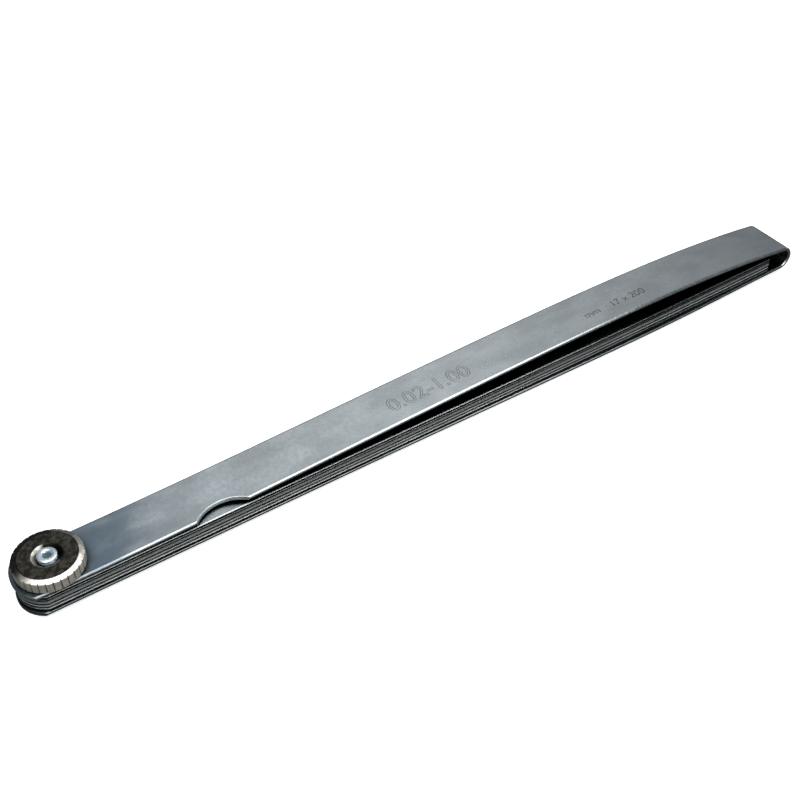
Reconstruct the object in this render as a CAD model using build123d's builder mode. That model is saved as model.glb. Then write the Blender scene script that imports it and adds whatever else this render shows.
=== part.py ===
from build123d import *
import math
import os

# Long feeler gauge: 17 graded blades on one pivot screw, held in a case that is a single spring steel
# strip folded back on itself at the far end, and clamped by a knurled nut.
#
# Frame: the origin is on the pivot axis at bench level, which is the underside of the screw head. +X runs
# along the blades to the fold, +Y to the side away from the thumb notch, +Z up through the nut. Millimetres.
# Heights in this file are measured from the underside of the case's lower leg, and save() lifts each
# finished piece by the height of the screw head.

# ---------------------------------------------------------------- driving dimensions
STRIP_WIDTH = 13.0  # case and blades share one width
STRIP_THICKNESS = 0.9
STRIP_EDGE_RADIUS = 0.42  # the strip is rolled with nearly full round edges
UPPER_END_RADIUS = 9.0  # shallow round at the near end of the upper leg
UPPER_OVERHANG = 8.1  # pivot axis to the near end of the upper leg
LOWER_END_RADIUS = 7.4
LOWER_OVERHANG = 8.0
BLADE_LENGTH = 200.0
BLADE_END_RADIUS = 7.15
BLADE_OVERHANG = 7.65  # pivot axis to the near ends of the blades
BLADE_TIP_RADIUS = 30.0
BLADE_GAP = 0.02  # air between neighbours in the stack

# Blade thicknesses from the lower leg up: the thickest blade guards the thin ones.
THIN_STEP = 0.01
THIN_BLADES = [round(THIN_STEP * n, 2) for n in range(2, 11)]
THICK_BLADES = [0.15, 0.20, 0.25, 0.30, 0.40, 0.50, 0.75]
GUARD_BLADE = 1.00
BLADES = [GUARD_BLADE] + THIN_BLADES + THICK_BLADES

# The far third of the stack is sprung upwards by the lower leg.
BLADE_BOW_START = 120.0
BLADE_TIP_RISE = 0.95

# Fold at the far end of the case, on the middle plane of the strip.
FOLD_X = 196.8
FOLD_RADIUS = 2.75
FOLD_BOTTOM = 1.42
LOWER_SLOPE = 0.03
UPPER_SLOPE = 0.13

# Thumb notch in the front edge of the upper leg.
NOTCH_X = 35.0
NOTCH_RADIUS = 8.35
NOTCH_DEPTH = 2.65

# Pivot hardware, M4 by 0.7.
SCREW_RADIUS = 2.0
PIVOT_CLEARANCE = 0.05
HEAD_RADIUS = 4.5
HEAD_HEIGHT = 1.0
SOCKET_RADIUS = 1.25  # hexagon socket in the head, to the middle of its flats
SOCKET_DEPTH = 0.6
SEAT_GAP = 0.02  # air under the head and under the nut
NUT_RADIUS = 7.25
NUT_HEIGHT = 3.0
NUT_CHAMFER_WIDTH = 1.0  # bevel round the top
NUT_CHAMFER_HEIGHT = 0.45
NUT_FOOT_CHAMFER = 0.15
KNURL_RIBS = 30
KNURL_GROOVE = 0.55  # side of the square cutter that leaves a V groove
COUNTERSINK_RADIUS = 3.12
SCREW_PROUD = 0.3  # screw end above the nut's face
PEEN_RADIUS = 2.2  # flared end that keeps the nut on
PEEN_HEIGHT = 0.45
DIMPLE_RADIUS = 0.9
DIMPLE_DEPTH = 0.4

# ---------------------------------------------------------------- heights worked out from them
half_width = STRIP_WIDTH / 2
half_strip = STRIP_THICKNESS / 2
stack_height = sum(BLADES) + BLADE_GAP * (len(BLADES) + 1)
upper_leg_bottom = STRIP_THICKNESS + stack_height
upper_leg_top = upper_leg_bottom + STRIP_THICKNESS
hole_radius = SCREW_RADIUS + PIVOT_CLEARANCE
nut_bottom = upper_leg_top + SEAT_GAP
nut_top = nut_bottom + NUT_HEIGHT
screw_top = nut_top + SCREW_PROUD
tip_x = BLADE_LENGTH - BLADE_OVERHANG
bow_run = tip_x - BLADE_BOW_START
bow_radius = bow_run**2 / (2 * BLADE_TIP_RISE)
bow_centre_z = STRIP_THICKNESS + BLADE_GAP + bow_radius

os.makedirs("parts", exist_ok=True)


def save(part, name):
    """Lift a finished piece to its height above the bench, label it and write its STEP file."""
    lifted = part.moved(Location((0, 0, HEAD_HEIGHT + SEAT_GAP)))
    lifted.label = name
    export_step(lifted, f"parts/{name}.step")


# ---------------------------------------------------------------- case
# The strip's middle line, seen from the front: along the lower leg, round the fold, back along the upper.
upper_middle = upper_leg_bottom + half_strip
near_end = -UPPER_OVERHANG - 1.0
fold_sweep = 180 - math.degrees(math.atan(LOWER_SLOPE) + math.atan(UPPER_SLOPE))

with BuildPart() as case_strip:
    with BuildLine(Plane.XZ) as middle_line:
        lower_flat = Line((near_end, half_strip), (60, half_strip))
        lower_bow = Spline(
            lower_flat @ 1,
            (130, 0.0),
            (165, 0.25),
            (190, 1.22),
            (FOLD_X, FOLD_BOTTOM),
            tangents=((1, 0), (1, LOWER_SLOPE)),
        )
        fold = JernArc(lower_bow @ 1, (1, LOWER_SLOPE), FOLD_RADIUS, fold_sweep)
        upper_bow = Spline(
            fold @ 1,
            (180, 8.6),
            (150, 9.68),
            (110, 9.02),
            (60, 7.25),
            (NUT_RADIUS, upper_middle),
            tangents=((-1, UPPER_SLOPE), (-1, -0.015)),
        )
        upper_flat = Line(upper_bow @ 1, (near_end, upper_middle))
    section = Plane(origin=(near_end, 0, half_strip), x_dir=(0, 1, 0), z_dir=(1, 0, 0))
    with BuildSketch(section):
        RectangleRounded(STRIP_WIDTH, STRIP_THICKNESS, STRIP_EDGE_RADIUS)
    sweep(path=middle_line.wires()[0])

    # Each near end is trimmed to its own round, from the middle of the stack upwards or downwards.
    for radius, overhang, direction in (
        (UPPER_END_RADIUS, UPPER_OVERHANG, 1),
        (LOWER_END_RADIUS, LOWER_OVERHANG, -1),
    ):
        with BuildSketch(Plane.XY.offset(upper_leg_bottom / 2)):
            Rectangle(-near_end + 1, STRIP_WIDTH + 2, align=(Align.MAX, Align.CENTER))
            with Locations((radius - overhang, 0)):
                Circle(radius, mode=Mode.SUBTRACT)
        extrude(amount=direction * screw_top, mode=Mode.SUBTRACT)

    # Thumb notch, in the upper leg only.
    with BuildSketch(Plane.XY.offset(upper_leg_bottom / 2)):
        with Locations((NOTCH_X, NOTCH_DEPTH - half_width - NOTCH_RADIUS)):
            Circle(NOTCH_RADIUS)
    extrude(amount=screw_top, mode=Mode.SUBTRACT)

    Hole(hole_radius)

save(case_strip.part, "case_strip")


# ---------------------------------------------------------------- blades
def bowed_edge(level):
    """Side-view line of a blade face: flat from the near end, then sprung up towards the tip."""
    radius = bow_centre_z - level
    angle = math.degrees(math.asin((bow_run + 1) / radius))
    return [
        Line((-BLADE_OVERHANG - 1, level), (BLADE_BOW_START, level)),
        CenterArc((BLADE_BOW_START, bow_centre_z), radius, -90, angle),
    ]


def make_blade(thickness, bottom):
    """One blade: a bowed sheet cut to the blade's outline, with its pivot hole."""
    with BuildPart() as blade:
        with BuildSketch(Plane.XZ):
            with BuildLine():
                lower = bowed_edge(bottom)
                upper = bowed_edge(bottom + thickness)
                Line(lower[0] @ 0, upper[0] @ 0)
                Line(lower[1] @ 1, upper[1] @ 1)
            make_face()
        extrude(amount=half_width, both=True)
        with BuildSketch():
            with Locations((BLADE_END_RADIUS - BLADE_OVERHANG, 0)):
                Circle(BLADE_END_RADIUS)
            Rectangle(tip_x - BLADE_TIP_RADIUS, STRIP_WIDTH, align=(Align.MIN, Align.CENTER))
            with Locations((tip_x - BLADE_TIP_RADIUS, 0)):
                Circle(BLADE_TIP_RADIUS)
        extrude(amount=2 * screw_top, mode=Mode.INTERSECT)
        Hole(hole_radius)
    return blade.part


blade_bottom = STRIP_THICKNESS + BLADE_GAP
for thickness in BLADES:
    save(make_blade(thickness, blade_bottom), f"blade_{thickness:.2f}".replace(".", "_"))
    blade_bottom += thickness + BLADE_GAP


# ---------------------------------------------------------------- pivot screw
with BuildPart() as pivot_screw:
    with BuildSketch(Plane.XY.offset(-SEAT_GAP - HEAD_HEIGHT)):
        Circle(HEAD_RADIUS)
    extrude(amount=HEAD_HEIGHT)
    head_rim = pivot_screw.edges().group_by(Axis.Z)[0]
    chamfer(head_rim, HEAD_HEIGHT / 4)
    with BuildSketch(Plane.XY.offset(-SEAT_GAP)):
        Circle(SCREW_RADIUS)
    extrude(amount=screw_top + SEAT_GAP)
    with BuildSketch(Plane.XY.offset(screw_top - PEEN_HEIGHT)):
        Circle(PEEN_RADIUS)
    extrude(amount=PEEN_HEIGHT)
    end_rim = pivot_screw.edges().group_by(Axis.Z)[-1]
    chamfer(end_rim, PEEN_HEIGHT * 0.8)
    with Locations((0, 0, screw_top)):
        CounterSinkHole(radius=0.05, counter_sink_radius=DIMPLE_RADIUS, depth=DIMPLE_DEPTH)
    with BuildSketch(Plane.XY.offset(-SEAT_GAP - HEAD_HEIGHT)):
        RegularPolygon(SOCKET_RADIUS, 6, major_radius=False)
    extrude(amount=SOCKET_DEPTH, mode=Mode.SUBTRACT)

save(pivot_screw.part, "pivot_screw")


# ---------------------------------------------------------------- knurled nut
with BuildPart() as knurled_nut:
    with BuildSketch(Plane.XZ):
        with BuildLine():
            Polyline(
                (hole_radius, nut_bottom),
                (NUT_RADIUS - NUT_FOOT_CHAMFER, nut_bottom),
                (NUT_RADIUS, nut_bottom + NUT_FOOT_CHAMFER),
                (NUT_RADIUS, nut_top - NUT_CHAMFER_HEIGHT),
                (NUT_RADIUS - NUT_CHAMFER_WIDTH, nut_top),
                (COUNTERSINK_RADIUS, nut_top),
                (hole_radius, nut_top - COUNTERSINK_RADIUS + hole_radius),
                close=True,
            )
        make_face()
    revolve(axis=Axis.Z)
    with BuildSketch(Plane.XY.offset(nut_bottom)):
        with PolarLocations(NUT_RADIUS + 0.05, KNURL_RIBS):
            Rectangle(KNURL_GROOVE, KNURL_GROOVE, rotation=45)
    extrude(amount=NUT_HEIGHT, mode=Mode.SUBTRACT)

save(knurled_nut.part, "knurled_nut")
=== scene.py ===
"""Studio picture of a long feeler gauge: 17 blades in a folded strip-steel case, clamped by a knurled nut.

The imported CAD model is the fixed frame. The case and the blades stay as they are and get steel materials.
The nut and the screw are replaced by pieces with a real knurl, thread and dimple, and numbers are marked
on the case and the blades. Lengths in this script are millimetres, turned into metres by MM.
"""

import math

import bmesh
import bpy
from mathutils import Matrix, Vector
from mathutils.bvhtree import BVHTree


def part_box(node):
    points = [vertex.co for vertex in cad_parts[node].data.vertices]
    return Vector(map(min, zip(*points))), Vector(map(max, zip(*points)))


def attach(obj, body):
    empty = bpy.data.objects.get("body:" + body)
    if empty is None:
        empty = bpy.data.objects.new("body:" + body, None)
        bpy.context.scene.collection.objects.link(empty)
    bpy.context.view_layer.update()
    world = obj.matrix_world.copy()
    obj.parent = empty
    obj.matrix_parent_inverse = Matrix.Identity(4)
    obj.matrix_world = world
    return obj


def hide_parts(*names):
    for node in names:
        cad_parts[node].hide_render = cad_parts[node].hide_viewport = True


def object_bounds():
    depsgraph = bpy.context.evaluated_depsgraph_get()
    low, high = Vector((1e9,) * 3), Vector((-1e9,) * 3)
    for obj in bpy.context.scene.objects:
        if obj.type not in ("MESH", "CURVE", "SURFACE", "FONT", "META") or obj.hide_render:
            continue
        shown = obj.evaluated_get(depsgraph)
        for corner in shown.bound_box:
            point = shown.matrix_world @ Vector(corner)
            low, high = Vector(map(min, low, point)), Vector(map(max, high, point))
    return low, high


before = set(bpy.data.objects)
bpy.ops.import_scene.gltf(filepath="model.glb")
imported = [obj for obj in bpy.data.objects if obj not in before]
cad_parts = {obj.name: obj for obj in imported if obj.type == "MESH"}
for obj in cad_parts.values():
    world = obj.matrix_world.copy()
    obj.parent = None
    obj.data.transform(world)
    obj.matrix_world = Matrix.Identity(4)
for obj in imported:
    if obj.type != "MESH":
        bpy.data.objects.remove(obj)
cad_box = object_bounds()

MM = 0.001
BLADES = [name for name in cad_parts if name.startswith("blade_")]

# Camera, as angles about the object and a distance.
CAMERA_AZIMUTH = 31.9
CAMERA_ELEVATION = 42.02
CAMERA_ROLL = -1.64
CAMERA_DISTANCE = 276.0
CAMERA_LENS = 54.0
AIM_SHIFT = (-10.37, 4.8, -1.74)  # from the middle of the case to the point aimed at

# Nut and screw.
KNURL_RIBS = 30
KNURL_DEPTH = 0.30
KNURL_LAND = 0.80  # share of the pitch that is flat land
NUT_CHAMFER_WIDTH = 1.0
NUT_CHAMFER_HEIGHT = 0.45
NUT_FOOT_CHAMFER = 0.15
BORE_RADIUS = 2.05
COUNTERSINK_RADIUS = 3.12
SCREW_RADIUS = 2.0
THREAD_PITCH = 0.7
THREAD_DEPTH = 0.3
THREAD_RUNOUT = 0.34  # from the screw's end down to the first full thread
END_ROUND = 0.22  # the ring round the dimple is rounded down by this much
DIMPLE_RADIUS = 1.0
DIMPLE_DEPTH = 0.40
HEAD_HEIGHT = 1.0
HEAD_CHAMFER = 0.25
SOCKET_RADIUS = 1.25
SOCKET_DEPTH = 0.6
SOCKET_POINT = 0.25  # depth of the drill point under the socket
FLARE = 0.04  # the screw's end stands out from the shank by this
EDGE_BREAK = 0.08  # broken edge of the head's shoulder

# Strip steel. The painted shade on the lower leg fades out between the two heights above the bench, from 0
# to full.
# Black for painted shade.
PAINTED_SHADE_BLACK = (0.003, 0.004, 0.004)
# Light colour of worn edges, which is also a painted highlight.
EDGE_WEAR_HIGHLIGHT = (0.93, 0.94, 0.95)
LEG_SHADE_FADE = (4.2, 3.2)

# Markings.
RANGE_TEXT = "0.02-1.00"
RANGE_SIZE = 5.8
RANGE_START = (78.9, -2.7)
COUNT_TEXT = "mm    17 x 200"
COUNT_SIZE = 3.0
COUNT_START = (134.0, -2.6)
NUMBER_SIZE = 3.0
NUMBER_START = (14.0, -1.1)


# ---------------------------------------------------------------- shader helpers
class Shader:
    """A node tree with short calls: values become links or defaults, whichever they are."""

    def __init__(self, owner):
        owner.use_nodes = True
        self.tree = owner.node_tree
        self.tree.nodes.clear()

    def node(self, kind, inputs=None, output=0, **settings):
        """Makes a node and returns one of its outputs, by name or place."""
        made = self.tree.nodes.new(kind)
        for name, value in settings.items():
            setattr(made, name, value)
        for name, value in (inputs or {}).items():
            if isinstance(value, bpy.types.NodeSocket):
                self.tree.links.new(value, made.inputs[name])
            else:
                made.inputs[name].default_value = value
        return made.outputs[output] if made.outputs else made

    def math(self, operation, a, b=0.0, c=0.0, clamp=False):
        return self.node("ShaderNodeMath", {0: a, 1: b, 2: c}, operation=operation, use_clamp=clamp)

    def times(self, a, b):
        return self.math("MULTIPLY", a, b)

    def vector(self, operation, a, b=(0, 0, 0), output=0):
        return self.node("ShaderNodeVectorMath", {0: a, 1: b}, output, operation=operation)

    def dot(self, a, b):
        return self.vector("DOT_PRODUCT", a, b, "Value")

    def part(self, vector, axis):
        """The X, Y or Z of a vector."""
        return self.node("ShaderNodeSeparateXYZ", {"Vector": vector}, axis)

    def geometry(self, output):
        return self.node("ShaderNodeNewGeometry", output=output)

    def remap(self, value, low, high, to_low=0.0, to_high=1.0):
        """Smoothly carries low..high to to_low..to_high, and holds the ends."""
        limits = {"From Min": low, "From Max": high, "To Min": to_low, "To Max": to_high}
        return self.node(
            "ShaderNodeMapRange", {"Value": value, **limits}, interpolation_type="SMOOTHSTEP"
        )

    def mix(self, factor, a, b):
        """Mixes two colours."""
        mixed = self.tree.nodes.new("ShaderNodeMix")
        mixed.data_type = "RGBA"
        for socket, value in ((mixed.inputs[0], factor), (mixed.inputs[6], a), (mixed.inputs[7], b)):
            if isinstance(value, bpy.types.NodeSocket):
                self.tree.links.new(value, socket)
            elif socket.type == "RGBA":
                socket.default_value = (*value, 1.0)
            else:
                socket.default_value = value
        return mixed.outputs[2]

    def noise(self, coordinates, scale, stretch=(1, 1, 1), turn=0.0, detail=3.0):
        """Noise with scale features per millimetre, stretched along the axes."""
        placed = self.node(
            "ShaderNodeMapping",
            {"Vector": coordinates, "Scale": stretch, "Rotation": (0, 0, math.radians(turn))},
            vector_type="POINT",
        )
        return self.node("ShaderNodeTexNoise", {"Vector": placed, "Scale": scale, "Detail": detail})


def millimetres(shader):
    """Coordinates that ride with the piece, in millimetres."""
    place = shader.node("ShaderNodeTexCoord", output="Object")
    return shader.vector("MULTIPLY", place, (1 / MM, 1 / MM, 1 / MM))


def scratches(shader, coordinates, turn, density):
    """Sparse fine scratches in one direction, 1 on a scratch and 0 elsewhere."""
    lines = shader.noise(coordinates, 1.0, (0.22, 9.0, 9.0), turn, 2.0)
    patches = shader.noise(coordinates, 0.11, (1, 1, 1), turn + 40, 1.0)
    thin = shader.remap(lines, 0.70 - density, 0.74 - density)
    return shader.times(thin, shader.remap(patches, 0.50, 0.62))


def edge_wear_and_highlight(shader, radius):
    """1 on upper edges sharper than the radius, 0 on faces, with the rounded normal that goes with it. The
    light colour laid on it is edge wear and also a painted highlight, so only upward edges take it.
    """
    rounded = shader.node("ShaderNodeBevel", {"Radius": radius * MM}, samples=6)
    likeness = shader.dot(rounded, shader.geometry("Normal"))
    bent = shader.remap(likeness, 0.995, 0.86)
    upper = shader.remap(shader.part(rounded, "Z"), 0.0, 0.2)
    return shader.times(bent, upper), rounded


def open_sky(shader, reach, shut, clear):
    """0 deep in gaps and corners narrower than the reach, 1 out in the open."""
    seen = shader.node("ShaderNodeAmbientOcclusion", {"Distance": reach * MM}, "AO", samples=8)
    return shader.remap(seen, shut, clear)


def about_axis(shader, coordinates):
    """Distance from the pivot axis in millimetres, and the flat direction away from it."""
    flat = shader.vector("MULTIPLY", coordinates, (1, 1, 0))
    return shader.vector("LENGTH", flat, output="Value"), shader.vector("NORMALIZE", flat)


def finish_metal(shader, colour, roughness, bump, rounded, bump_distance=0.004, metallic=1.0):
    """The metal itself, with its bumps laid on the rounded normal. Bump distances are in millimetres."""
    surface = shader.node(
        "ShaderNodeBump",
        {"Strength": 1.0, "Distance": bump_distance * MM, "Height": bump, "Normal": rounded},
    )
    shaded = shader.node(
        "ShaderNodeBsdfPrincipled",
        {"Base Color": colour, "Metallic": metallic, "Roughness": roughness, "Normal": surface},
    )
    shader.node("ShaderNodeOutputMaterial", {"Surface": shaded})


# ---------------------------------------------------------------- materials
def gap_light(shader, flatness):
    """0 where the colour is painted black as shade, 1 in the open. Flat faces take this painted shade
    anywhere in the case's mouth, but upright and rounded ones only in narrow slots, so that the lines of
    the stack stay visible."""
    rim = shader.remap(flatness, 0.96, 0.88)
    faces = shader.times(open_sky(shader, 8.0, 0.40, 0.90), shader.math("SUBTRACT", 1.0, rim))
    sides = shader.times(open_sky(shader, 5.0, 0.12, 0.34), rim)
    return shader.math("ADD", faces, sides)


def strip_steel(name, colour, roughness, side_colour, side_metallic, edge_radius, edge_highlight_share, nut_tint_and_leg_shade=0.0):
    """Spring steel: lengthwise grain, fine mottling, short scratches, worn edges with a painted highlight,
    and painted shade in gaps and recesses. The last argument is the strength of the blue-grey darkening
    towards the nut and of the black painted shade on the lower leg."""
    material = bpy.data.materials.new(name)
    shader = Shader(material)
    place = millimetres(shader)
    grain = shader.noise(place, 1.0, (0.03, 7.0, 7.0), 0.0, 4.0)
    clouds = shader.noise(place, 0.16, (0.6, 1.2, 1.0), 12.0, 5.0)
    mottle = shader.noise(place, 1.1, (1, 1, 1), 0.0, 5.0)
    smudge = shader.noise(place, 0.05, (1.0, 2.0, 1.0), 30.0, 2.0)
    marks = shader.math(
        "MAXIMUM", scratches(shader, place, 24.0, 0.02), scratches(shader, place, -38.0, 0.0)
    )
    wear_and_highlight, rounded = edge_wear_and_highlight(shader, edge_radius)
    tilt = shader.part(shader.geometry("True Normal"), "Z")
    flatness = shader.math("ABSOLUTE", tilt)
    side = shader.remap(flatness, 0.80, 0.50)
    along = shader.math("ADD", shader.part(place, "X"), shader.remap(clouds, 0.3, 0.7, -4.0, 4.0))

    dim = tuple(0.84 * channel for channel in colour)
    bright = tuple(min(1.0, 1.06 * channel) for channel in colour)
    face = shader.mix(shader.remap(clouds, 0.32, 0.68), dim, bright)
    face = shader.mix(shader.remap(mottle, 0.35, 0.7, 0.0, 0.25), face, dim)
    face = shader.mix(shader.times(marks, 0.3), face, (0.88, 0.90, 0.91))
    # Darker and blue-grey towards the nut.
    face = shader.mix(shader.remap(along, 7.0, 25.0, nut_tint_and_leg_shade, 0.0), face, (0.25, 0.31, 0.36))
    painted = shader.mix(side, face, side_colour)
    # Worn edges, lightened also as a painted highlight.
    painted = shader.mix(shader.times(wear_and_highlight, edge_highlight_share), painted, EDGE_WEAR_HIGHLIGHT)

    # Painted shade on the lower leg's sides: black, and paler towards the pivot. Its upper rim and
    # underside stay bare.
    low = shader.remap(shader.part(place, "Z"), *LEG_SHADE_FADE)
    underside = shader.times(low, shader.remap(tilt, -0.80, -0.95))
    shade_mask = shader.math("SUBTRACT", shader.times(low, shader.remap(tilt, 0.60, 0.38)), underside, clamp=True)
    shade_mask = shader.times(shade_mask, shader.remap(along, -20.0, 90.0, 0.8 * nut_tint_and_leg_shade, nut_tint_and_leg_shade))
    painted = shader.mix(shader.times(shade_mask, 0.99), painted, PAINTED_SHADE_BLACK)
    # Painted shade: gaps, slots and the case's mouth go black.
    lit = shader.math("MAXIMUM", gap_light(shader, flatness), underside)
    painted = shader.mix(lit, PAINTED_SHADE_BLACK, painted)

    rough = shader.remap(smudge, 0.35, 0.65, roughness - 0.03, roughness + 0.05)
    rough = shader.math("ADD", rough, shader.remap(mottle, 0.3, 0.7, -0.03, 0.04))
    rough = shader.math("ADD", rough, shader.times(side, 0.08))
    rough = shader.math("ADD", rough, shader.times(shade_mask, 0.5))
    metallic = shader.remap(side, 0.0, 1.0, 1.0, side_metallic)
    height = shader.math("ADD", shader.times(grain, 0.6), shader.times(mottle, 0.5))
    height = shader.math("SUBTRACT", height, shader.times(marks, 0.5))
    finish_metal(shader, painted, rough, height, rounded, metallic=metallic)
    return material


def nut_metal():
    """Nickel plating, dull on the knurl and bright on the bevels, with a face black from oily hands. Upward
    edges get a painted highlight; one wall of the countersink, the back-left chamfer and the recesses get
    painted shade.
    """
    material = bpy.data.materials.new("nut_nickel")
    shader = Shader(material)
    place = millimetres(shader)
    up = shader.part(shader.geometry("True Normal"), "Z")
    upright = shader.remap(up, 0.60, 0.25)
    blotch = shader.noise(place, 0.9, (1, 1, 1), 0.0, 6.0)
    speck = shader.noise(place, 3.2, (1, 1, 1), 20.0, 5.0)
    wear_and_highlight, rounded = edge_wear_and_highlight(shader, 0.06)

    bevel = shader.mix(shader.remap(blotch, 0.30, 0.62), (0.50, 0.47, 0.40), (0.84, 0.82, 0.76))
    knurl = shader.mix(shader.remap(speck, 0.35, 0.65), (0.30, 0.28, 0.23), (0.47, 0.45, 0.39))
    plating = shader.mix(upright, bevel, knurl)
    plating = shader.mix(shader.remap(speck, 0.60, 0.75, 0.0, 0.5), plating, (0.16, 0.15, 0.12))
    black = shader.mix(shader.remap(blotch, 0.36, 0.66), (0.050, 0.044, 0.033), (0.150, 0.138, 0.115))
    black = shader.mix(shader.remap(speck, 0.42, 0.66, 0.0, 0.7), black, (0.022, 0.019, 0.014))
    black = shader.mix(shader.remap(speck, 0.66, 0.80, 0.0, 0.5), black, (0.30, 0.29, 0.26))
    face = shader.remap(up, 0.94, 0.985)
    body = shader.mix(face, plating, black)
    # Upward edges lighter: wear and a painted highlight.
    painted = shader.mix(shader.times(wear_and_highlight, 0.5), body, (0.86, 0.85, 0.81))
    # Painted shade on the countersink wall towards +X and on the chamfer at the back left.
    from_axis, outward = about_axis(shader, place)
    toward_shaded_wall = shader.dot(outward, (0.93, 0.37, 0.0))
    in_recess = shader.remap(from_axis, COUNTERSINK_RADIUS + 0.3, COUNTERSINK_RADIUS)
    shade_mask = shader.times(shader.remap(toward_shaded_wall, 0.1, 0.5), in_recess)
    toward_dark_rim = shader.dot(outward, (-0.62, 0.78, 0.0))
    on_rim = shader.times(shader.remap(toward_dark_rim, 0.1, 0.6), shader.remap(upright, 0.6, 0.2))
    dark_rim = shader.times(on_rim, shader.remap(from_axis, 5.6, 6.1, 0.0, 0.92))
    painted = shader.mix(shader.math("MAXIMUM", shade_mask, dark_rim), painted, (0.018, 0.016, 0.012))
    # Painted shade in recesses.
    painted = shader.mix(open_sky(shader, 0.9, 0.25, 0.66), (0.012, 0.011, 0.008), painted)

    rough = shader.remap(speck, 0.3, 0.7, 0.28, 0.42)
    rough = shader.math("ADD", rough, shader.times(upright, 0.12))
    metallic = shader.remap(upright, 0.0, 1.0, 1.0, 0.55)
    height = shader.math("ADD", speck, shader.times(blotch, 0.6))
    finish_metal(shader, painted, rough, height, rounded, 0.012, metallic)
    return material


def screw_metal():
    """Bright zinc with a cold blue tint, with a painted highlight on upward edges and painted shade in the
    dimple and recesses.
    """
    material = bpy.data.materials.new("screw_zinc")
    shader = Shader(material)
    place = millimetres(shader)
    cloud = shader.noise(place, 0.9, (1, 1, 1), 0.0, 4.0)
    speck = shader.noise(place, 4.0, (1, 1, 1), 0.0, 4.0)
    wear_and_highlight, rounded = edge_wear_and_highlight(shader, 0.07)
    zinc = shader.mix(shader.remap(cloud, 0.35, 0.65), (0.56, 0.66, 0.72), (0.82, 0.90, 0.95))
    zinc = shader.mix(shader.remap(speck, 0.62, 0.80, 0.0, 0.4), zinc, (0.40, 0.46, 0.50))
    # Upward edges lighter: wear and a painted highlight.
    painted = shader.mix(shader.times(wear_and_highlight, 0.7), zinc, (0.95, 0.98, 1.0))
    from_axis, _ = about_axis(shader, place)
    # Painted shade in the dimple.
    shaded_dimple = shader.remap(from_axis, DIMPLE_RADIUS, 0.8 * DIMPLE_RADIUS)
    painted = shader.mix(shaded_dimple, painted, (0.20, 0.27, 0.31))
    # Painted shade in recesses.
    painted = shader.mix(open_sky(shader, 1.2, 0.30, 0.90), (0.07, 0.10, 0.12), painted)
    rough = shader.remap(speck, 0.3, 0.7, 0.18, 0.34)
    finish_metal(shader, painted, rough, speck, rounded, 0.003, shader.remap(shaded_dimple, 0.0, 1.0, 0.7, 1.0))
    return material


def etched_mark():
    """Dark etched or stamped lettering, uneven as such marks are."""
    material = bpy.data.materials.new("etched_mark")
    shader = Shader(material)
    place = millimetres(shader)
    uneven = shader.noise(place, 2.4, (1, 1, 1), 0.0, 4.0)
    colour = shader.mix(shader.remap(uneven, 0.35, 0.65), (0.05, 0.055, 0.06), (0.17, 0.18, 0.19))
    rounded = shader.geometry("Normal")
    finish_metal(shader, colour, 0.5, uneven, rounded, 0.01, 0.7)
    return material


def floor_paper():
    """White paper. It stays white to the camera, mirror rays see it as a dark card, and it can be looked
    through from below."""
    material = bpy.data.materials.new("floor_paper")
    shader = Shader(material)
    place = millimetres(shader)
    fibre = shader.noise(place, 0.6, (1, 1, 1), 0.0, 4.0)
    white = shader.mix(shader.remap(fibre, 0.3, 0.7), (0.90, 0.90, 0.90), (0.93, 0.93, 0.93))
    ray = shader.tree.nodes.new("ShaderNodeLightPath")
    paper = shader.node("ShaderNodeBsdfDiffuse", {"Color": white})
    glow = shader.node(
        "ShaderNodeEmission",
        {"Color": white, "Strength": shader.times(ray.outputs["Is Camera Ray"], 0.75)},
    )
    lit = shader.node("ShaderNodeAddShader", {0: paper, 1: glow})
    card = shader.node("ShaderNodeBsdfDiffuse", {"Color": (0.09, 0.10, 0.095, 1)})
    seen = shader.node("ShaderNodeMixShader", {0: ray.outputs["Is Glossy Ray"], 1: lit, 2: card})
    clear = shader.node("ShaderNodeBsdfTransparent")
    from_below = shader.geometry("Backfacing")
    surface = shader.node("ShaderNodeMixShader", {0: from_below, 1: seen, 2: clear})
    shader.node("ShaderNodeOutputMaterial", {"Surface": surface})
    return material


# ---------------------------------------------------------------- mesh helpers
def new_object(name, mesh, material):
    made = bpy.data.objects.new(name, mesh)
    bpy.context.scene.collection.objects.link(made)
    mesh.materials.append(material)
    return made


def lathe(name, rows, columns, material, sharp_degrees=32.0):
    """A closed ring of rows of points about +Z. Each row is a function of the angle giving (radius, height)
    in millimetres, and a radius of zero closes the row to one point."""
    mesh = bmesh.new()
    rings = []
    for row in rows:
        radius, height = row(0.0)
        if radius == 0.0:
            rings.append([mesh.verts.new((0, 0, height * MM))])
            continue
        ring = []
        for column in range(columns):
            angle = 2 * math.pi * column / columns
            radius, height = row(angle)
            point = (radius * math.cos(angle), radius * math.sin(angle), height)
            ring.append(mesh.verts.new(Vector(point) * MM))
        rings.append(ring)
    pairs = list(zip(rings, rings[1:]))
    if len(rings[0]) > 1:
        pairs.append((rings[-1], rings[0]))
    for lower, upper in pairs:
        for column in range(columns):
            after = (column + 1) % columns
            corners = [lower[column % len(lower)], lower[after % len(lower)]]
            corners += [upper[after % len(upper)], upper[column % len(upper)]]
            distinct = list(dict.fromkeys(corners))
            if len(distinct) > 2:
                mesh.faces.new(distinct)
    bmesh.ops.recalc_face_normals(mesh, faces=mesh.faces)
    sharp = math.radians(sharp_degrees)
    for edge in mesh.edges:
        edge.smooth = edge.calc_face_angle(0.0) < sharp
    for face in mesh.faces:
        face.smooth = True
    data = bpy.data.meshes.new(name)
    mesh.to_mesh(data)
    mesh.free()
    return new_object(name, data, material)


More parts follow.
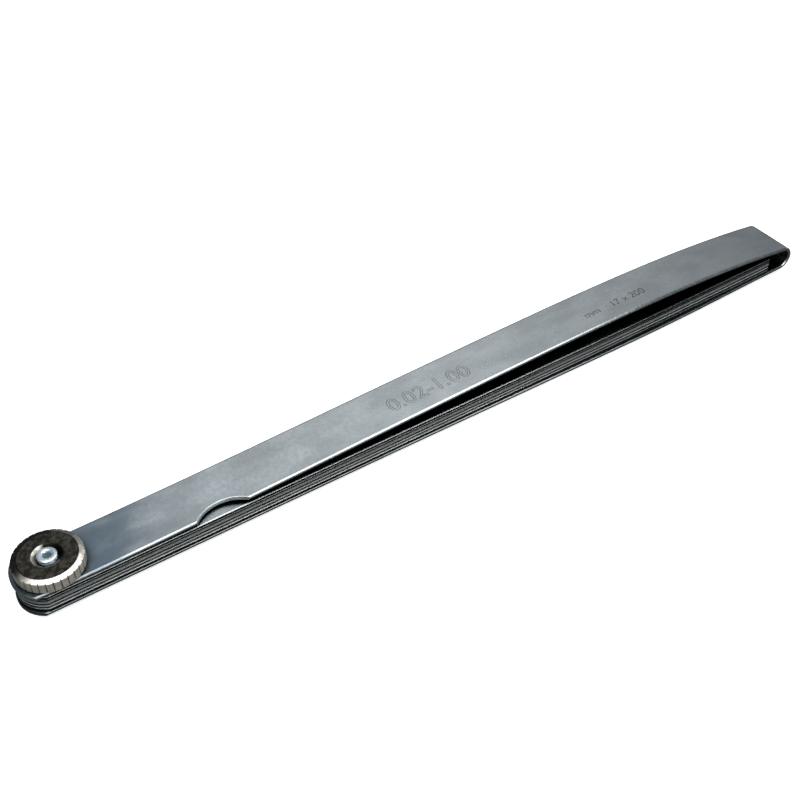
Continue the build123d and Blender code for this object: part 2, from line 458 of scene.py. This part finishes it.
def fixed(radius, height):
    """A round row for the lathe."""
    return lambda angle: (radius, height)


def span(start, end, steps):
    """Evenly spaced numbers from start to end, both included."""
    return [start + (end - start) * step / steps for step in range(steps + 1)]


# ---------------------------------------------------------------- nut
def knurl_radius(angle, outer):
    """Outer radius of the straight knurl: flat lands with narrow rounded grooves between them."""
    phase = (angle * KNURL_RIBS / (2 * math.pi)) % 1.0
    from_groove = abs(phase - 0.5) * 2  # 0 in a groove's middle, 1 in a land's middle
    rise = min(1.0, from_groove / (1.0 - KNURL_LAND))
    return outer - KNURL_DEPTH * (1.0 - rise * rise * (3 - 2 * rise))


def build_nut(material):
    """The nut, from the bore up through the countersink, over the face and down the knurled side."""
    low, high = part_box("knurled_nut")
    bottom, top = low.z / MM, high.z / MM
    outer = high.y / MM
    sink = COUNTERSINK_RADIUS - BORE_RADIUS

    def turned(limit, height):
        """A row on the knurled side, cut back to the chamfer's radius where that is smaller."""
        return lambda angle: (min(limit, knurl_radius(angle, outer)), height)

    rows = [fixed(BORE_RADIUS, bottom), fixed(BORE_RADIUS, top - sink)]
    rows += [fixed(BORE_RADIUS + sink * step / 4, top - sink + sink * step / 4) for step in range(1, 4)]
    rows.append(fixed(COUNTERSINK_RADIUS - 0.04, top - 0.04))
    rows.append(fixed(COUNTERSINK_RADIUS + 0.05, top))
    rim = outer - NUT_CHAMFER_WIDTH
    rows += [fixed(radius, top) for radius in span(COUNTERSINK_RADIUS + 0.4, rim - 0.05, 4)]
    rows += [
        turned(rim + NUT_CHAMFER_WIDTH * share, top - NUT_CHAMFER_HEIGHT * share)
        for share in span(0.0, 1.0, 10)
    ]
    side_low = bottom + NUT_FOOT_CHAMFER
    rows += [turned(outer, height) for height in span(top - NUT_CHAMFER_HEIGHT - 0.1, side_low, 5)]
    rows += [
        turned(outer - NUT_FOOT_CHAMFER * share, side_low - NUT_FOOT_CHAMFER * share)
        for share in span(0.2, 1.0, 4)
    ]
    nut = lathe("knurled_nut_detailed", rows, KNURL_RIBS * 24, material)
    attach(nut, "nut")
    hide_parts("knurled_nut")


# ---------------------------------------------------------------- screw
def thread_radius(angle, height):
    """Radius of the threaded shank: a V thread with a flat crest."""
    phase = (height / THREAD_PITCH - angle / (2 * math.pi)) % 1.0
    ramp = min(1.0, abs(phase - 0.5) * 2 / 0.85)
    return SCREW_RADIUS - THREAD_DEPTH * (1.0 - ramp)


def build_screw(material):
    """The screw, from the socket round the head, up the thread and over the end into the dimple."""
    low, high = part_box("pivot_screw")
    bottom, top = low.z / MM, high.z / MM
    head = high.x / MM
    nut_low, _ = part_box("knurled_nut")
    shoulder = bottom + HEAD_HEIGHT
    thread_start = nut_low.z / MM - 1.0
    thread_end = top - THREAD_RUNOUT

    def threaded(height):
        fade = min(1.0, (height - thread_start) / 0.5)

        def row(angle):
            cut = SCREW_RADIUS - thread_radius(angle, height)
            return SCREW_RADIUS - cut * fade, height

        return row

    def hexagon(radius, height):
        """A row round the hexagon socket: radius is to the middle of a flat."""
        return lambda angle: (radius / math.cos((angle % (math.pi / 3)) - math.pi / 6), height)

    rows = [fixed(0.0, bottom + SOCKET_DEPTH + SOCKET_POINT)]
    rows += [hexagon(SOCKET_RADIUS * 0.6, bottom + SOCKET_DEPTH + 0.05)]
    rows += [hexagon(SOCKET_RADIUS, bottom + SOCKET_DEPTH), hexagon(SOCKET_RADIUS, bottom + 0.12)]
    rows += [hexagon(SOCKET_RADIUS + 0.1, bottom)]
    rows += [fixed(radius, bottom) for radius in span(2.0, head - HEAD_CHAMFER - 0.05, 3)]
    rows += [fixed(head - 0.03, bottom + HEAD_CHAMFER), fixed(head, bottom + HEAD_CHAMFER + 0.05)]
    rows += [fixed(head, shoulder - EDGE_BREAK), fixed(head - EDGE_BREAK, shoulder)]
    rows += [fixed(SCREW_RADIUS, shoulder), fixed(SCREW_RADIUS, thread_start)]
    rows += [threaded(height) for height in span(thread_start + 0.05, thread_end, 88)]
    rows += [fixed(SCREW_RADIUS + FLARE, thread_end + 0.08), fixed(SCREW_RADIUS + FLARE, top - 0.2)]
    ring = (SCREW_RADIUS + DIMPLE_RADIUS) / 2
    swell = (SCREW_RADIUS - DIMPLE_RADIUS) / 2
    for share in (0.86, 0.6, 0.3, 0.0, -0.3, -0.6, -0.86):
        rows.append(fixed(ring + swell * share, top - END_ROUND * (1 - math.sqrt(1 - share**2))))
    rows += [fixed(DIMPLE_RADIUS - 0.02, top - END_ROUND), fixed(DIMPLE_RADIUS - 0.14, top - DIMPLE_DEPTH)]
    rows += [fixed(DIMPLE_RADIUS / 2, top - DIMPLE_DEPTH - 0.02), fixed(0.0, top - DIMPLE_DEPTH - 0.02)]
    screw = lathe("pivot_screw_threaded", rows, 144, material)
    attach(screw, "screw")
    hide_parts("pivot_screw")


# ---------------------------------------------------------------- markings
def surface_of(node):
    """A function giving the height in metres of a CAD node's top surface under a point."""
    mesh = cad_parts[node].data
    mesh.calc_loop_triangles()
    triangles = [tuple(triangle.vertices) for triangle in mesh.loop_triangles]
    tree = BVHTree.FromPolygons([vertex.co for vertex in mesh.vertices], triangles)
    _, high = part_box(node)

    def height(x, y):
        hit, _, _, _ = tree.ray_cast(Vector((x, y, high.z + MM)), Vector((0, 0, -1)))
        return hit.z

    return height


def marking(name, text, size, start, node, body, material, line, proud):
    """Lettering laid on a node's top surface. With a line width, only the outlines are drawn. The line
    width and the height that it stands proud are in millimetres."""
    curve = bpy.data.curves.new(name, "FONT")
    curve.body = text
    curve.size = size * MM
    curve.resolution_u = 4
    if line:
        curve.fill_mode = "NONE"
        curve.bevel_depth = line * MM
        curve.bevel_resolution = 1
    else:
        curve.extrude = proud * MM / 2
    shape = bpy.data.objects.new(name, curve)
    bpy.context.scene.collection.objects.link(shape)
    bpy.context.view_layer.update()
    mesh = bpy.data.meshes.new_from_object(shape.evaluated_get(bpy.context.evaluated_depsgraph_get()))
    bpy.data.objects.remove(shape)
    height = surface_of(node)
    for vertex in mesh.vertices:
        x = vertex.co.x + start[0] * MM
        y = vertex.co.y + start[1] * MM
        lift = proud * MM - line * MM if line else proud * MM / 2
        vertex.co = Vector((x, y, height(x, y) + vertex.co.z + lift))
    mesh.materials.clear()
    made = new_object(name, mesh, material)
    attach(made, body)
    return made


def build_markings(material):
    """The range is outlined on the case, and the count and each blade's number are filled."""
    case = ("case_strip", "case")
    marking("range_marking", RANGE_TEXT, RANGE_SIZE, RANGE_START, *case, material, line=0.11, proud=0.03)
    marking("count_marking", COUNT_TEXT, COUNT_SIZE, COUNT_START, *case, material, line=0.0, proud=0.01)
    for name in BLADES:
        number = name.replace("blade_", "").replace("_", ".")
        label = "number_" + number
        marking(label, number, NUMBER_SIZE, NUMBER_START, name, name, material, line=0.0, proud=0.006)


# ---------------------------------------------------------------- studio
def toward(azimuth, elevation):
    """Unit vector at an azimuth from +Y towards +X, and an elevation."""
    a, e = math.radians(azimuth), math.radians(elevation)
    return Vector((math.sin(a) * math.cos(e), math.cos(a) * math.cos(e), math.sin(e)))


def build_world():
    """A dim room with soft bright patches, each given by its direction, half width and strength."""
    patches = [
        (21.0, 46.0, 8.5, 0.55, (1.0, 1.0, 0.97)),
        (13.0, 46.5, 6.0, 0.12, (1.0, 1.0, 0.98)),
        (38.0, 40.0, 9.0, 0.36, (1.0, 1.0, 0.98)),
        (50.0, 31.0, 8.0, 0.20, (1.0, 1.0, 0.98)),
        (57.0, 21.0, 6.0, 0.08, (1.0, 1.0, 0.98)),
        (6.0, 45.0, 16.0, 0.10, (0.75, 1.0, 1.25)),
        (78.0, 6.0, 12.0, 0.9, (1.0, 0.98, 0.92)),
        (230.0, 40.0, 28.0, 0.5, (1.0, 1.0, 1.0)),
    ]
    world = bpy.data.worlds.new("studio")
    bpy.context.scene.world = world
    shader = Shader(world)
    direction = shader.node("ShaderNodeTexCoord", output="Generated")
    total = None
    for azimuth, elevation, half_width, strength, colour in patches:
        likeness = shader.dot(direction, tuple(toward(azimuth, elevation)))
        power = math.log(0.5) / math.log(math.cos(math.radians(half_width)))
        glow = shader.math("POWER", shader.math("MAXIMUM", likeness, 0.0), power)
        glow = shader.times(glow, strength)
        tinted = shader.vector("SCALE", colour)
        shader.tree.links.new(glow, tinted.node.inputs["Scale"])
        total = tinted if total is None else shader.vector("ADD", total, tinted)
    total = shader.vector("ADD", total, (0.09, 0.105, 0.12))
    background = shader.node("ShaderNodeBackground", {"Color": total, "Strength": 1.0})
    shader.node("ShaderNodeOutputWorld", {"Surface": background})


def softbox(name, centre, aim, size, radiance):
    """A rectangular soft light, in millimetres, by the radiance of its face."""
    light = bpy.data.lights.new(name, "AREA")
    light.shape = "RECTANGLE"
    light.size, light.size_y = size[0] * MM, size[1] * MM
    light.energy = radiance * math.pi * light.size * light.size_y
    made = bpy.data.objects.new(name, light)
    bpy.context.scene.collection.objects.link(made)
    made.location = Vector(centre) * MM
    facing = (Vector(aim) - Vector(centre)).to_track_quat("-Z", "Y")
    made.rotation_euler = facing.to_euler()
    made.visible_camera = False


def build_lights():
    """Broad lights above and in front, and two small ones that brighten the case near the nut."""
    softbox("overhead", centre=(40, -80, 450), aim=(40, -80, 0), size=(580, 400), radiance=3.0)
    softbox("front", centre=(170, -420, 250), aim=(60, 0, 5), size=(380, 280), radiance=2.3)
    softbox("right", centre=(167, -29, 114), aim=(0, 0, 10), size=(100, 60), radiance=2.0)
    softbox("back_right", centre=(142, 48, 140), aim=(0, 0, 10), size=(46, 56), radiance=2.0)


def build_floor():
    """A wide floor just under the screw's head, on which the tool lies."""
    half = 3000.0 * MM
    mesh = bpy.data.meshes.new("floor")
    level = cad_box[0].z - 0.02 * MM
    corners = [(-half, -half, level), (half, -half, level), (half, half, level), (-half, half, level)]
    mesh.from_pydata(corners, [], [(0, 1, 2, 3)])
    floor = new_object("floor", mesh, floor_paper())


def build_camera():
    """The camera looks at its aim point from the photograph's direction, and is rolled by a small angle."""
    low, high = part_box("case_strip")
    aim = (low + high) / 2 + Vector(AIM_SHIFT) * MM
    forward = toward(CAMERA_AZIMUTH, -CAMERA_ELEVATION)
    right = Vector((math.cos(math.radians(CAMERA_AZIMUTH)), -math.sin(math.radians(CAMERA_AZIMUTH)), 0))
    up = right.cross(forward)
    roll = math.radians(CAMERA_ROLL)
    across = right * math.cos(roll) + up * math.sin(roll)
    upward = up * math.cos(roll) - right * math.sin(roll)
    axes = Matrix((across, upward, -forward)).transposed()
    data = bpy.data.cameras.new("camera")
    data.lens = CAMERA_LENS
    data.sensor_width = 36.0
    data.clip_start = 10 * MM
    data.clip_end = 20.0
    camera = bpy.data.objects.new("camera", data)
    bpy.context.scene.collection.objects.link(camera)
    camera.matrix_world = Matrix.Translation(aim - forward * CAMERA_DISTANCE * MM) @ axes.to_4x4()
    bpy.context.scene.camera = camera


# ---------------------------------------------------------------- build
def paint(node, material):
    """Gives a carried-over CAD node its material."""
    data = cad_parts[node].data
    data.materials.clear()
    data.materials.append(material)


def finish_case():
    """Rolled strip with worn edges that also carry a painted highlight, darker and blue-grey towards the
    nut, with painted shade on the lower leg and in the gaps.
    """
    steel = strip_steel(
        "case_steel",
        colour=(0.60, 0.64, 0.655),
        roughness=0.24,
        side_colour=(0.42, 0.46, 0.45),
        side_metallic=1.0,
        edge_radius=0.4,
        edge_highlight_share=0.25,
        nut_tint_and_leg_shade=1.0,
    )
    paint("case_strip", steel)


def finish_blades():
    """The blades' sides are painted in tones of highlight and shade, which draws the lines of the stack:
    colour and metallic of each tone, and radius and share of the worn edge with its painted highlight."""
    # Bright is a painted highlight, grey and dark are painted shade on the blades' sides.
    painted_side_tones = {
        "bright": ((0.56, 0.59, 0.57), 0.15),
        "grey": ((0.17, 0.19, 0.18), 0.5),
        "dark": ((0.025, 0.03, 0.028), 1.0),
    }
    painted_tone_of = {"blade_0_15": "bright", "blade_0_30": "grey", "blade_0_40": "grey", "blade_0_10": "grey"}
    edge_wear_and_highlight_of = {
        "blade_1_00": (0.6, 0.8),
        "blade_0_75": (0.5, 0.7),
        "blade_0_50": (0.3, 0.5),
        "blade_0_30": (0.2, 0.5),
    }
    for name in BLADES:
        side_colour, side_metallic = painted_side_tones[painted_tone_of.get(name, "dark")]
        edge_radius, edge_highlight_share = edge_wear_and_highlight_of.get(name, (0.05, 0.3))
        steel = strip_steel(
            name + "_steel",
            colour=(0.60, 0.65, 0.67),
            roughness=0.2,
            side_colour=side_colour,
            side_metallic=side_metallic,
            edge_radius=edge_radius,
            edge_highlight_share=edge_highlight_share,
        )
        paint(name, steel)


finish_case()
finish_blades()
build_nut(nut_metal())
build_screw(screw_metal())
build_markings(etched_mark())
build_floor()
build_world()
build_lights()
build_camera()
bpy.context.scene.view_settings.view_transform = "Standard"
